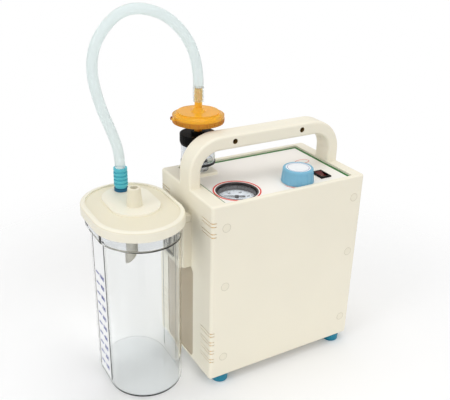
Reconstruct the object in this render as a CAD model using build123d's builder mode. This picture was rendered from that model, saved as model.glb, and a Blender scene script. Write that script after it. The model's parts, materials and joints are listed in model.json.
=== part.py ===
from build123d import *
import os
from math import atan, cos, degrees, hypot, radians, sin, tan

# Portable vacuum aspirator: two-shell casing with an integral handle, recessed gauge panel,
# hanging collection jar, overflow bottle with an inline filter, and the hose between them.
# Origin on the floor under the centre of the overall box, +Z up, front towards -Y, jar at -X.
# Millimetres.

os.makedirs("parts", exist_ok=True)


def save(part, name):
    part.label = name
    export_step(part, "parts/" + name + ".step")


# Overall sizes
case_w = 212.0
case_d = 130.0
case_h = 232.0
foot_h = 11.0
foot_r = 10.8
foot_in_left = 20.5
foot_in_right = 17.0
foot_in_front = 11.5
foot_in_rear = 18.0
wall = 3.0
case_r = 4.0
jar_gap = 9.0
lid_w = 104.0
lid_l = 140.0
lid_shift = 2.5
part_depth = 76.0

# Positions that follow from them
case_x1 = (case_w + jar_gap + lid_w) / 2
case_x0 = case_x1 - case_w
case_y0 = -(part_depth + lid_l / 2) / 2
case_y1 = case_y0 + case_d
part_y = case_y0 + part_depth
case_z0 = foot_h
case_z1 = case_z0 + case_h
case_cx = (case_x0 + case_x1) / 2
case_cy = (case_y0 + case_y1) / 2
lid_x = case_x0 - jar_gap - lid_w / 2
jar_x = lid_x + lid_shift
jar_y = part_y

# Panel seat in the top of the casing
recess = 2.7
plate_t = 2.5
film_t = 0.4
ledge_t = 2.0
ledge_w = 5.0
fit = 0.3
slip = 0.05
panel_z = case_z1 - recess
plate_z = panel_z - film_t - plate_t
open_left = 18.7
open_right = 15.5
open_front = 5.0
open_rear = 7.2
open_w = case_w - open_left - open_right
open_d = case_d - open_front - open_rear
open_cx = case_x0 + open_left + open_w / 2
open_cy = case_y0 + open_front + open_d / 2

# Instruments on the panel
gauge_x = case_x0 + 50.7
gauge_y = case_y0 + 33.5
gauge_r = 25.0
gauge_ring_r = 28.0
knob_x = case_x0 + 129.5
knob_y = case_y0 + 25.5
switch_x = case_x0 + 167.0
switch_y = case_y0 + 28.0
switch_w = 15.0
switch_l = 21.0
stack_x = case_x0 + 38.2
stack_y = case_y0 + 106.0

# Handle
handle_y0 = case_y0 + 54.0
handle_y1 = case_y0 + 82.0
handle_top = case_z1 + 56.9
leg_t = 15.0
bar_t = 16.8
handle_r = 42.0
handle_screw_dx = 47.0
handle_screw_z = handle_top - 7.9

# Casing screws
post_xs = [case_x0 + 18.5, case_x1 - 13.5]
post_zs = [case_z0 + 29.0, case_z0 + 128.3, case_z0 + 204.0]
post_r = 7.0
cap_r = 4.8
screw_r = 2.0
screw_head_r = 3.9
screw_seat = 14.0
posts = [(x, z) for x in post_xs for z in post_zs]
foot_spots = [(fx, fy) for fx in (case_x0 + foot_in_left, case_x1 - foot_in_right)
              for fy in (case_y0 + foot_in_front, case_y1 - foot_in_rear)]

# Jar bracket
bracket_w = 54.0
bracket_z0 = case_z0 + 135.0
bracket_z1 = case_z0 + 194.0
bracket_t = 11.5
tongue_neck = 10.0
tongue_head = 16.0
tongue_t = 4.4
tongue_x1 = case_x0 - 2.8
tongue_z0 = bracket_z0 + 9.0
tongue_z1 = bracket_z1 - 5.0

# Jar and lid
jar_z0 = 2.0
jar_rim_z = 222.0
jar_flange_z = 202.5
jar_body_w = 90.0
jar_foot_w = 88.6
jar_flange_w = 96.0
jar_wall = 2.5
oval_run = lid_l - lid_w
lid_skirt_z = 216.0
lid_top_z = 228.0
lid_wall = 3.6
gasket_t = 1.5
field_w = 58.0
field_l = 84.0
field_shift = 12.0

# Ports on the lid
port_y = jar_y - 1.5
port_z1 = 250.0
port_r0 = 9.2
port_r1 = 7.2
port_bore = 4.5
elbow_x = jar_x + 2.0
elbow_y = jar_y + 44.0
elbow_z1 = 257.0

# Bottle, filter and hose
boss_h = 3.5
boss_w = 36.0
boss_d = 33.0
boss_shift = 2.5
neck_r = 13.0
bottle_z0 = panel_z + boss_h + 9.0
bottle_r = 20.6
cap_z0 = 276.7
cap_z1 = 289.7
bottle_cap_r = 22.2
filter_z0 = 304.0
filter_mid = 309.5
filter_r = 30.8
barb_z0 = 328.5
barb_z1 = 345.0
barb_r = 4.5
hose_r = 6.0

# Pump set
motor_x0 = case_x0 + 52.0
motor_len = 50.0
motor_y = case_y0 + 63.0
motor_z = 74.0
stator_half = 38.0
base_z = 28.0
base_t = 2.0
crank_throw = 3.0
pin_r = 4.0
pump_x = motor_x0 + 83.0


def arch(x_a, x_b, z_a, z_b, radius, mode):
    # upright U outline filled down to z_a
    with BuildLine(mode=Mode.PRIVATE) as outline:
        FilletPolyline((x_a, z_a), (x_a, z_b), (x_b, z_b), (x_b, z_a), radius=radius)
        Line((x_b, z_a), (x_a, z_a))
    make_face(outline.edges(), mode=mode)


def oval(width, length, mode=Mode.ADD):
    # racetrack outline with its long axis along Y
    return SlotOverall(length, width, rotation=90, mode=mode)


# Casing, made whole and then parted at the handle's middle plane
with BuildPart() as handle_solid:
    with BuildSketch(Plane.XZ.offset(-handle_y0)):
        arch(case_x0, case_x1, case_z1 - 20.0, handle_top, handle_r, Mode.ADD)
        arch(case_x0 + leg_t, case_x1 - leg_t, case_z1 - 20.0, handle_top - bar_t, handle_r - 18.0,
             Mode.SUBTRACT)
    extrude(amount=-(handle_y1 - handle_y0))
    front_edges = [e for e in edges() if abs(e.center().Y - handle_y0) < 0.01]
    front_edges = [e for e in front_edges if e.center().Z > case_z1 - 19.0]
    fillet(front_edges, 3.0)
    rear_edges = [e for e in edges() if abs(e.center().Y - handle_y1) < 0.01]
    rear_edges = [e for e in rear_edges if e.center().Z > case_z1 - 19.0]
    fillet(rear_edges, 5.0)

cav_w = case_w - 2 * wall
cav_d = case_d - 2 * wall
vent_zs = [27.8, 40.2, 52.6, 65.0, 197.2, 210.2]

with BuildPart() as casing:
    with BuildSketch(Plane.XY.offset(case_z0)):
        with Locations((case_cx, case_cy)):
            RectangleRounded(case_w, case_d, case_r)
    extrude(amount=case_h)
    fillet(faces().sort_by(Axis.Z)[-1].edges(), 2.4)
    fillet(faces().sort_by(Axis.Z)[0].edges(), 2.4)
    add(handle_solid.part)
    # main cavity, ledge, panel groove and top opening
    with BuildSketch(Plane.XY.offset(case_z0 + wall)):
        with Locations((case_cx, case_cy)):
            RectangleRounded(cav_w, cav_d, 3.0)
    extrude(amount=plate_z - ledge_t - case_z0 - wall, mode=Mode.SUBTRACT)
    with BuildSketch(Plane.XY.offset(plate_z - ledge_t)):
        with Locations((case_cx, case_cy)):
            RectangleRounded(cav_w - 2 * ledge_w, cav_d - 2 * ledge_w, 3.0)
    extrude(amount=ledge_t, mode=Mode.SUBTRACT)
    with BuildSketch(Plane.XY.offset(plate_z)):
        with Locations((case_cx, case_cy)):
            RectangleRounded(cav_w, cav_d, 3.0)
    extrude(amount=panel_z - plate_z, mode=Mode.SUBTRACT)
    with BuildSketch(Plane.XY.offset(panel_z)):
        with Locations((open_cx, open_cy)):
            RectangleRounded(open_w, open_d, 3.0)
    extrude(amount=10.0, mode=Mode.SUBTRACT)
    with BuildSketch(Plane.XY.offset(plate_z - ledge_t)):
        with Locations((gauge_x, gauge_y)):
            Circle(gauge_r + 2.6)
    extrude(amount=ledge_t, mode=Mode.SUBTRACT)
    # hollow inside the handle
    with BuildSketch(Plane.XZ.offset(-(handle_y0 + wall))):
        arch(case_x0 + wall, case_x1 - wall, case_z1 - 5.0, handle_top - wall, handle_r - wall, Mode.ADD)
        arch(case_x0 + leg_t - wall, case_x1 - leg_t + wall, case_z1 - 5.0, handle_top - bar_t + wall,
             handle_r - 15.0, Mode.SUBTRACT)
    extrude(amount=-(handle_y1 - handle_y0 - 2 * wall), mode=Mode.SUBTRACT)
    # screw bosses inside the bar
    with BuildSketch(Plane.XZ.offset(-(handle_y0 + 2.0))):
        for side in (-1, 1):
            with Locations((case_cx + side * handle_screw_dx, handle_screw_z)):
                Circle(6.4)
    extrude(amount=-(handle_y1 - handle_y0 - 4.0))
    # screw posts
    with BuildSketch(Plane.XZ.offset(-(case_y0 + 1.0))):
        with Locations(*posts):
            Circle(post_r)
    extrude(amount=-(case_d - 2.0))
    # ribs that tie the side walls to the posts
    for x, z in posts:
        side_x = case_x0 if x < case_cx else case_x1
        with Locations(((x + side_x) / 2, case_cy, z)):
            Box(abs(x - side_x) - 1.0, case_d - 8.0, 2.0)
    # screw ways
    with BuildSketch(Plane.XZ.offset(-case_y0)):
        with Locations(*posts):
            Circle(cap_r + slip)
    extrude(amount=-(part_depth - screw_seat), mode=Mode.SUBTRACT)
    with BuildSketch(Plane.XZ.offset(-case_y0)):
        with Locations(*posts):
            Circle(screw_r + slip)
    extrude(amount=-(part_depth + 18.0), mode=Mode.SUBTRACT)
    with BuildSketch(Plane.XZ.offset(-handle_y0)):
        for side in (-1, 1):
            with Locations((case_cx + side * handle_screw_dx, handle_screw_z)):
                Circle(3.3)
    extrude(amount=-12.0, mode=Mode.SUBTRACT)
    with BuildSketch(Plane.XZ.offset(-handle_y0)):
        for side in (-1, 1):
            with Locations((case_cx + side * handle_screw_dx, handle_screw_z)):
                Circle(1.6 + slip)
    extrude(amount=-25.0, mode=Mode.SUBTRACT)
    # vent slots round the two left corners, in pairs
    for vz in vent_zs:
        for dz in (-2.1, 2.1):
            for corner_y, inward in ((case_y0, 1), (case_y1, -1)):
                with Locations((case_x0 + 2.8, corner_y + inward * 11.8, case_z0 + vz + dz)):
                    Box(6.2, 24.4, 1.1, mode=Mode.SUBTRACT)
    # shallow recess behind the jar
    with BuildSketch(Plane.YZ.offset(case_x0)):
        with Locations((jar_y, case_z0 + 69.0)):
            RectangleRounded(63.0, 130.0, 8.0)
    extrude(amount=1.1, mode=Mode.SUBTRACT)
    # inlet window in the rear wall and pilot holes for the feet
    with BuildSketch(Plane.XZ.offset(-case_y1)):
        with Locations((case_x1 - 50.0, case_z0 + 52.0)):
            Rectangle(46.4, 26.4)
    extrude(amount=wall + 1.0, mode=Mode.SUBTRACT)
    for fx, fy in foot_spots:
        with Locations((fx, fy, case_z0 + wall / 2)):
            Cylinder(screw_r + slip, wall + 4.0, mode=Mode.SUBTRACT)
        with Locations((fx, fy, case_z0 + wall + 3.0)):
            Cylinder(5.0, 6.0)
        with Locations((fx, fy, case_z0 + wall + 2.0)):
            Cylinder(screw_r + slip, 9.0, mode=Mode.SUBTRACT)

with BuildPart() as front_shell:
    add(casing.part)
    split(bisect_by=Plane.XZ.offset(-part_y), keep=Keep.TOP)
with BuildPart() as rear_shell:
    add(casing.part)
    split(bisect_by=Plane.XZ.offset(-part_y), keep=Keep.BOTTOM)
save(front_shell.part, "front_shell")
save(rear_shell.part, "rear_shell")

# Fasteners of the casing
with BuildPart() as shell_screws:
    for x, z in posts:
        seat_y = part_y - screw_seat
        with Locations(Plane((x, seat_y, z), z_dir=(0, -1, 0))):
            Cylinder(screw_head_r, 3.0, align=(Align.CENTER, Align.CENTER, Align.MIN))
            Cylinder(screw_r, 30.0, align=(Align.CENTER, Align.CENTER, Align.MAX))
            with Locations((0, 0, 2.0)):
                Box(5.2, 0.9, 2.4, mode=Mode.SUBTRACT)
                Box(0.9, 5.2, 2.4, mode=Mode.SUBTRACT)
save(shell_screws.part, "shell_screws")

with BuildPart() as screw_caps:
    for x, z in posts:
        with Locations(Plane((x, case_y0, z), z_dir=(0, -1, 0))):
            with Locations((0, 0, -3.0)):
                Cylinder(cap_r, 3.25, align=(Align.CENTER, Align.CENTER, Align.MIN))
    tops = [e for e in edges() if e.center().Y < case_y0 - 0.2]
    chamfer(tops, 0.2)
save(screw_caps.part, "screw_caps")

with BuildPart() as handle_screws:
    for side in (-1, 1):
        sx = case_cx + side * handle_screw_dx
        with Locations(Plane((sx, handle_y0 + 12.0, handle_screw_z), z_dir=(0, -1, 0))):
            Cylinder(3.0, 2.4, align=(Align.CENTER, Align.CENTER, Align.MIN))
            Cylinder(1.6, 12.0, align=(Align.CENTER, Align.CENTER, Align.MAX))
            with Locations((0, 0, 1.8)):
                Box(4.2, 0.8, 2.0, mode=Mode.SUBTRACT)
                Box(0.8, 4.2, 2.0, mode=Mode.SUBTRACT)
save(handle_screws.part, "handle_screws")

with BuildPart() as feet:
    for fx, fy in foot_spots:
        with Locations((fx, fy, 0)):
            Cone(foot_r - 0.9, foot_r, foot_h, align=(Align.CENTER, Align.CENTER, Align.MIN))
    fillet([e for e in edges() if e.center().Z < 0.01], 1.0)
    for fx, fy in foot_spots:
        with Locations((fx, fy, 0)):
            Cylinder(4.6, 6.0, align=(Align.CENTER, Align.CENTER, Align.MIN), mode=Mode.SUBTRACT)
            Cylinder(screw_r + slip, foot_h, align=(Align.CENTER, Align.CENTER, Align.MIN),
                     mode=Mode.SUBTRACT)
save(feet.part, "feet")

with BuildPart() as foot_screws:
    for fx, fy in foot_spots:
        with Locations((fx, fy, 3.4)):
            Cylinder(3.9, 2.6, align=(Align.CENTER, Align.CENTER, Align.MIN))
        with Locations((fx, fy, 6.0)):
            Cylinder(screw_r, 11.0, align=(Align.CENTER, Align.CENTER, Align.MIN))
        with Locations((fx, fy, 3.9)):
            Box(5.2, 0.9, 1.2, mode=Mode.SUBTRACT)
            Box(0.9, 5.2, 1.2, mode=Mode.SUBTRACT)
save(foot_screws.part, "foot_screws")

# Panel plate, printed film and its green border
switch_hole_w = switch_w - 2.2
switch_hole_l = switch_l - 2.2
with BuildPart() as panel_plate:
    with BuildSketch(Plane.XY.offset(plate_z)):
        with Locations((case_cx, case_cy)):
            RectangleRounded(cav_w - 2 * fit, cav_d - 2 * fit, 3.0)
        with Locations((gauge_x, gauge_y)):
            Circle(gauge_r + slip, mode=Mode.SUBTRACT)
        with Locations((knob_x, knob_y)):
            Circle(5.0 + slip, mode=Mode.SUBTRACT)
        with Locations((switch_x, switch_y)):
            Rectangle(switch_hole_w + 0.2, switch_hole_l + 0.2, mode=Mode.SUBTRACT)
        with Locations((stack_x, stack_y)):
            Circle(7.0 + slip, mode=Mode.SUBTRACT)
    extrude(amount=plate_t)
save(panel_plate.part, "panel_plate")

stripe_w = 3.6
with BuildPart() as panel_stripe:
    with BuildSketch(Plane.XY.offset(plate_z + plate_t)):
        with Locations((open_cx, open_cy)):
            RectangleRounded(open_w - 0.4, open_d - 0.4, 2.8)
        with Locations((open_cx, open_cy - stripe_w / 2 - 2.5)):
            Rectangle(open_w - 0.4 - 2 * stripe_w, open_d - 0.4 - stripe_w + 5.0, mode=Mode.SUBTRACT)
    extrude(amount=film_t)
save(panel_stripe.part, "panel_stripe")

with BuildPart() as panel_film:
    with BuildSketch(Plane.XY.offset(plate_z + plate_t)):
        with Locations((open_cx, open_cy - stripe_w / 2)):
            Rectangle(open_w - 0.44 - 2 * stripe_w, open_d - 0.44 - stripe_w)
        with Locations((gauge_x, gauge_y)):
            Circle(gauge_r + slip, mode=Mode.SUBTRACT)
        with Locations((knob_x, knob_y)):
            Circle(5.0 + slip, mode=Mode.SUBTRACT)
        with Locations((switch_x, switch_y)):
            Rectangle(switch_hole_w + 0.2, switch_hole_l + 0.2, mode=Mode.SUBTRACT)
        with Locations((stack_x, stack_y)):
            Circle(7.0 + slip, mode=Mode.SUBTRACT)
    extrude(amount=film_t)
save(panel_film.part, "panel_film")

# Vacuum gauge
gauge_bottom = panel_z - 27.0
dial_z = panel_z - 9.5
with BuildPart() as gauge_case:
    with Locations((gauge_x, gauge_y, gauge_bottom)):
        Cylinder(gauge_r, panel_z - gauge_bottom, align=(Align.CENTER, Align.CENTER, Align.MIN))
    with Locations((gauge_x, gauge_y, plate_z - 2.0)):
        Cylinder(gauge_r + 2.2, 2.0, align=(Align.CENTER, Align.CENTER, Align.MIN))
    with Locations((gauge_x, gauge_y, gauge_bottom + 2.0)):
        Cylinder(gauge_r - 1.6, 40.0, align=(Align.CENTER, Align.CENTER, Align.MIN),
                 mode=Mode.SUBTRACT)
    with Locations((gauge_x, gauge_y, dial_z - 1.2 - 1.5)):
        Cylinder(gauge_r - 1.0, 1.5, align=(Align.CENTER, Align.CENTER, Align.MIN))
        Cylinder(gauge_r - 3.0, 1.5, align=(Align.CENTER, Align.CENTER, Align.MIN),
                 mode=Mode.SUBTRACT)
    with BuildSketch(Plane.XY.offset(dial_z)):
        with Locations((gauge_x, gauge_y)):
            Circle(gauge_r - 1.0)
            Circle(gauge_r - 3.2, mode=Mode.SUBTRACT)
    extrude(amount=panel_z - 3.2 - dial_z)
    with Locations((gauge_x, gauge_y, gauge_bottom)):
        Cylinder(4.0 + slip, 4.0, align=(Align.CENTER, Align.CENTER, Align.CENTER),
                 mode=Mode.SUBTRACT)
save(gauge_case.part, "gauge_case")

with BuildPart() as gauge_ring:
    with BuildSketch(Plane.XY.offset(panel_z)):
        with Locations((gauge_x, gauge_y)):
            Circle(gauge_ring_r)
            Circle(gauge_ring_r - 1.5, mode=Mode.SUBTRACT)
    extrude(amount=0.4)
save(gauge_ring.part, "gauge_ring")

with BuildPart() as gauge_dial:
    with BuildSketch(Plane.XY.offset(dial_z - 1.2)):
        with Locations((gauge_x, gauge_y)):
            Circle(gauge_r - 1.7)
            Circle(1.6, mode=Mode.SUBTRACT)
    extrude(amount=1.2)
save(gauge_dial.part, "gauge_dial")

with BuildPart() as gauge_movement:
    with Locations((gauge_x, gauge_y, gauge_bottom - 5.0)):
        Cylinder(4.0, 8.0, align=(Align.CENTER, Align.CENTER, Align.MIN))
    with Locations((gauge_x, gauge_y, gauge_bottom + 3.0)):
        Cylinder(11.0, 3.0, align=(Align.CENTER, Align.CENTER, Align.MIN))
    with Locations((gauge_x, gauge_y, gauge_bottom + 11.0)):
        Box(20.0, 12.0, 2.0)
    for dx in (-8.0, 8.0):
        with Locations((gauge_x + dx, gauge_y, gauge_bottom + 8.0)):
            Cylinder(1.4, 5.0)
    with Locations((gauge_x, gauge_y, gauge_bottom + 10.0)):
        Cylinder(0.75, 8.0, mode=Mode.SUBTRACT)
save(gauge_movement.part, "gauge_movement")

# pointer: long thin blade, short broad counterweight, arbor down into the movement
needle_angle = 152.0
with BuildPart() as gauge_needle:
    with BuildSketch(Plane((gauge_x, gauge_y, dial_z + 1.2), x_dir=(cos(radians(needle_angle)),
                     sin(radians(needle_angle)), 0), z_dir=(0, 0, 1))):
        with BuildLine():
            Polyline((0.0, 1.0), (19.0, 0.3), (19.0, -0.3), (0.0, -1.0), (-3.0, -0.8), (-4.5, -1.7),
                     (-9.0, -1.5), (-9.0, 1.5), (-4.5, 1.7), (-3.0, 0.8), (0.0, 1.0))
        make_face()
    extrude(amount=0.5)
    with Locations((gauge_x, gauge_y, dial_z + 1.0)):
        Cylinder(2.2, 1.3, align=(Align.CENTER, Align.CENTER, Align.MIN))
    with Locations((gauge_x, gauge_y, gauge_bottom + 8.0)):
        Cylinder(0.7, dial_z + 1.0 - gauge_bottom - 8.0, align=(Align.CENTER, Align.CENTER,
                 Align.MIN))
save(gauge_needle.part, "gauge_needle")

with BuildPart() as gauge_lens:
    with Locations((gauge_x, gauge_y, panel_z - 3.2)):
        Cylinder(gauge_r - 1.65, 1.6, align=(Align.CENTER, Align.CENTER, Align.MIN))
save(gauge_lens.part, "gauge_lens")

with BuildPart() as gauge_studs:
    for turn in (30.0, 150.0, 270.0):
        sx = gauge_x + (gauge_r + 1.1) * cos(radians(turn))
        sy = gauge_y + (gauge_r + 1.1) * sin(radians(turn))
        with Locations((sx, sy, plate_z - 3.4)):
            Cylinder(1.0, 1.4, align=(Align.CENTER, Align.CENTER, Align.MIN))
save(gauge_studs.part, "gauge_studs")

# Vacuum regulator with its knob
body_z1 = plate_z
with BuildPart() as regulator_body:
    with BuildSketch(Plane.XY.offset(body_z1 - 24.0)):
        with Locations((knob_x, knob_y)):
            RegularPolygon(14.0, 6, rotation=30)
    extrude(amount=24.0)
    with Locations((knob_x, knob_y, body_z1 - 30.0)):
        Cylinder(4.5, 6.0, align=(Align.CENTER, Align.CENTER, Align.MIN))
    with Locations((knob_x, knob_y, body_z1)):
        Cylinder(5.0, plate_t + film_t, align=(Align.CENTER, Align.CENTER, Align.MIN))
    with Locations((knob_x, knob_y, body_z1 - 10.0)):
        Cylinder(3.0 + slip, 30.0, align=(Align.CENTER, Align.CENTER, Align.MIN), mode=Mode.SUBTRACT)
save(regulator_body.part, "regulator_body")

knob_r0 = 19.6
knob_r1 = 18.0
knob_h = 17.0
knob_z0 = panel_z + 0.8
with BuildPart() as regulator_knob:
    with BuildSketch(Plane.XY.offset(knob_z0)):
        with Locations((knob_x, knob_y)):
            Circle(knob_r0)
    with BuildSketch(Plane.XY.offset(knob_z0 + knob_h)):
        with Locations((knob_x, knob_y)):
            Circle(knob_r1)
    loft()
    fillet([e for e in edges() if e.center().Z > knob_z0 + knob_h - 0.1], 1.5)
    with Locations((knob_x, knob_y, knob_z0 + knob_h - 0.9)):
        Cylinder(knob_r1 - 3.0 + slip, 5.0, align=(Align.CENTER, Align.CENTER, Align.MIN),
                 mode=Mode.SUBTRACT)
    # grip flats pressed into the skirt
    lean = degrees(atan((knob_r0 - knob_r1) / knob_h))
    for turn in range(0, 360, 24):
        with Locations(Location((knob_x, knob_y, knob_z0 + 1.6), (0, 0, turn))):
            with Locations(Location((knob_r0 + 5.35, 0, 0), (0, -lean, 0))):
                Box(12.0, 5.2, knob_h - 4.6, align=(Align.CENTER, Align.CENTER, Align.MIN),
                    mode=Mode.SUBTRACT)
    with Locations((knob_x, knob_y, knob_z0)):
        Cylinder(knob_r0 - 2.6, knob_h - 4.4, align=(Align.CENTER, Align.CENTER, Align.MIN),
                 mode=Mode.SUBTRACT)
        Cylinder(6.0, knob_h - 4.0, align=(Align.CENTER, Align.CENTER, Align.MIN))
        Cylinder(3.0, 10.0, align=(Align.CENTER, Align.CENTER, Align.MIN), mode=Mode.SUBTRACT)
save(regulator_knob.part, "regulator_knob")

with BuildPart() as knob_cap:
    with Locations((knob_x, knob_y, knob_z0 + knob_h - 0.9)):
        Cylinder(knob_r1 - 3.0, 0.6, align=(Align.CENTER, Align.CENTER, Align.MIN))
save(knob_cap.part, "knob_cap")

with BuildPart() as regulator_spindle:
    with Locations((knob_x, knob_y, body_z1 - 9.0)):
        Cylinder(3.0, knob_z0 + 10.0 - body_z1 + 9.0, align=(Align.CENTER, Align.CENTER, Align.MIN))
save(regulator_spindle.part, "regulator_spindle")

# Rocker switch
switch_z = panel_z
with BuildPart() as switch_housing:
    with Locations((switch_x, switch_y, switch_z)):
        Box(switch_w, switch_l, 2.0, align=(Align.CENTER, Align.CENTER, Align.MIN))
    fillet([e for e in edges() if e.center().Z > switch_z + 1.9], 0.6)
    with Locations((switch_x, switch_y, switch_z - 18.0)):
        Box(switch_hole_w, switch_hole_l, 18.0, align=(Align.CENTER, Align.CENTER, Align.MIN))
    with Locations((switch_x, switch_y, switch_z - 9.0)):
        Box(switch_w - 4.4, switch_l - 4.4, 20.0, align=(Align.CENTER, Align.CENTER, Align.MIN),
            mode=Mode.SUBTRACT)
    for dy in (-5.0, 5.0):
        with Locations((switch_x, switch_y + dy, switch_z - 18.0)):
            Box(4.8, 0.8, 7.0, align=(Align.CENTER, Align.CENTER, Align.MAX))
save(switch_housing.part, "switch_housing")

# rocker: an arc-topped block that pivots about X, drawn with its rear end pressed in
rocker_tilt = 8.0
pivot_z = switch_z - 2.5
with BuildPart() as switch_rocker:
    with BuildSketch(Plane.YZ.offset(switch_x - (switch_w - 5.4) / 2)):
        with BuildLine():
            Polyline((-7.6, 4.6), (-6.0, -3.0), (6.0, -3.0), (7.6, 4.6))
            ThreePointArc((7.6, 4.6), (0.0, 2.6), (-7.6, 4.6))
        make_face()
    extrude(amount=switch_w - 5.4)
    fillet([e for e in edges() if e.center().Z > 4.5], 0.4)
rocker_part = switch_rocker.part.moved(Location((0, switch_y, pivot_z), (rocker_tilt, 0, 0)))
save(rocker_part, "switch_rocker")

# Jar bracket on the left wall
with BuildPart() as jar_bracket:
    with BuildSketch(Plane.XY.offset(bracket_z0)):
        with Locations((case_x0 - bracket_t / 2, jar_y)):
            Rectangle(bracket_t, bracket_w)
    extrude(amount=bracket_z1 - bracket_z0)
    outer = [e for e in edges() if e.center().X < case_x0 - bracket_t + 0.1]
    fillet(outer, 2.0)
    with Locations((case_x0 - bracket_t + 2.1, jar_y, tongue_z0)):
        Box(4.6, 2 * (tongue_neck + 0.4), 90.0, align=(Align.CENTER, Align.CENTER, Align.MIN),
            mode=Mode.SUBTRACT)
    with Locations((case_x0 - 2.4 - 2.7, jar_y, tongue_z0)):
        Box(5.4, 2 * (tongue_head + 0.4), 90.0, align=(Align.CENTER, Align.CENTER, Align.MIN),
            mode=Mode.SUBTRACT)
    for dy in (-22.0, 22.0):
        for dz in (12.0, 46.0):
            with Locations(Plane((case_x0 - bracket_t, jar_y + dy, bracket_z0 + dz), z_dir=(-1, 0, 0))):
                CounterBoreHole(1.6 + slip, 3.2, 5.0)
save(jar_bracket.part, "jar_bracket")

with BuildPart() as bracket_screws:
    for dy in (-22.0, 22.0):
        for dz in (12.0, 46.0):
            with Locations(Plane((case_x0 - bracket_t + 5.0, jar_y + dy, bracket_z0 + dz),
                                 z_dir=(-1, 0, 0))):
                Cylinder(3.0, 2.2, align=(Align.CENTER, Align.CENTER, Align.MIN))
                Cylinder(1.6, bracket_t - 5.0, align=(Align.CENTER, Align.CENTER, Align.MAX))
                with Locations((0, 0, 1.7)):
                    Box(4.4, 0.8, 1.4, mode=Mode.SUBTRACT)
save(bracket_screws.part, "bracket_screws")

# Collection jar
body_run = jar_body_w + oval_run
with BuildPart() as jar:
    with BuildSketch(Plane.XY.offset(jar_z0)):
        with Locations((jar_x, jar_y)):
            oval(jar_foot_w, jar_foot_w + oval_run)
    with BuildSketch(Plane.XY.offset(jar_flange_z)):
        with Locations((jar_x, jar_y)):
            oval(jar_body_w, jar_body_w + oval_run)
    loft()
    fillet([e for e in edges() if e.center().Z < jar_z0 + 0.01], 4.0)
    with BuildSketch(Plane.XY.offset(jar_flange_z)):
        with Locations((lid_x, jar_y)):
            oval(jar_flange_w, jar_flange_w + oval_run)
    extrude(amount=jar_rim_z - jar_flange_z)
    with BuildSketch(Plane.XY.offset(jar_z0 + 3.0)):
        with Locations((jar_x, jar_y)):
            oval(jar_foot_w - 2 * jar_wall, jar_foot_w - 2 * jar_wall + oval_run)
    with BuildSketch(Plane.XY.offset(jar_rim_z)):
        with Locations((jar_x, jar_y)):
            oval(jar_body_w - 2 * jar_wall, jar_body_w - 2 * jar_wall + oval_run)
    loft(mode=Mode.SUBTRACT)
    # hanging tongue, T-shaped in plan
    flat_x = jar_x + jar_body_w / 2
    with Locations((flat_x - 1.0, jar_y, tongue_z0)):
        Box(tongue_x1 - tongue_t + 1.5 - flat_x, 2 * tongue_neck, tongue_z1 - tongue_z0,
            align=(Align.MIN, Align.CENTER, Align.MIN))
    with Locations((tongue_x1, jar_y, tongue_z0)):
        Box(tongue_t, 2 * tongue_head, tongue_z1 - tongue_z0, align=(Align.MAX, Align.CENTER, Align.MIN))
save(jar.part, "jar")

# printed volume scale: a thin strip with ten marks on the outer flat
scale_x = jar_x - jar_body_w / 2
mark_z0 = 21.5
mark_step = 14.05
mark_zs = [mark_z0 + mark_step * i for i in range(10)]
lean_x = (jar_body_w - jar_foot_w) / 2 / (jar_flange_z - jar_z0)
with BuildPart() as jar_scale:
    for i, mz in enumerate(mark_zs):
        mark_x = jar_x - jar_foot_w / 2 - lean_x * (mz - jar_z0)
        mark_l = 12.0 if i % 2 else 8.0
        with Locations((mark_x - 0.14, jar_y - 8.0 + mark_l / 2, mz)):
            Box(0.24, mark_l, 0.9)
save(jar_scale.part, "jar_scale")

# Lid with its skirt, rim, raised field, patient port and float guide
with BuildPart() as lid:
    with BuildSketch(Plane.XY.offset(lid_skirt_z)):
        with Locations((lid_x, jar_y)):
            oval(lid_w, lid_l)
    extrude(amount=lid_top_z - lid_skirt_z)
    fillet(faces().sort_by(Axis.Z)[-1].edges(), 3.0)
    with BuildSketch(Plane.XY.offset(lid_skirt_z)):
        with Locations((lid_x, jar_y)):
            oval(lid_w - 2 * lid_wall, lid_l - 2 * lid_wall)
    extrude(amount=jar_rim_z + gasket_t - lid_skirt_z, mode=Mode.SUBTRACT)
    with BuildSketch(Plane.XY.offset(lid_top_z - 1.6)):
        with Locations((lid_x, jar_y)):
            oval(lid_w - 11.0, lid_l - 11.0)
    extrude(amount=5.0, mode=Mode.SUBTRACT)
    with BuildSketch(Plane.XY.offset(lid_top_z - 1.6)):
        with Locations((jar_x + 1.0, jar_y + field_shift)):
            oval(field_w, field_l)
    extrude(amount=2.2, taper=12.0)
    # patient port
    with Locations((jar_x, port_y, lid_top_z)):
        Cone(port_r0, port_r1, port_z1 - lid_top_z, align=(Align.CENTER, Align.CENTER, Align.MIN))
    fillet([e for e in edges() if e.center().Z > port_z1 - 0.1], 1.0)
    with Locations((jar_x, port_y, jar_rim_z + gasket_t - 14.0)):
        Cylinder(6.5, 15.0, align=(Align.CENTER, Align.CENTER, Align.MIN))
    # suction spigot and float guide seat
    with Locations((elbow_x, elbow_y, lid_top_z)):
        Cylinder(5.0, 14.0, align=(Align.CENTER, Align.CENTER, Align.MIN))
    with Locations((elbow_x, elbow_y, jar_rim_z + gasket_t - 6.0)):
        Cylinder(9.0, 7.0, align=(Align.CENTER, Align.CENTER, Align.MIN))
    with Locations((jar_x, port_y, jar_rim_z - 20.0)):
        Cylinder(port_bore, 60.0, align=(Align.CENTER, Align.CENTER, Align.MIN), mode=Mode.SUBTRACT)
    with Locations((elbow_x, elbow_y, jar_rim_z - 20.0)):
        Cylinder(3.0, 60.0, align=(Align.CENTER, Align.CENTER, Align.MIN), mode=Mode.SUBTRACT)
save(lid.part, "lid")

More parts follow.
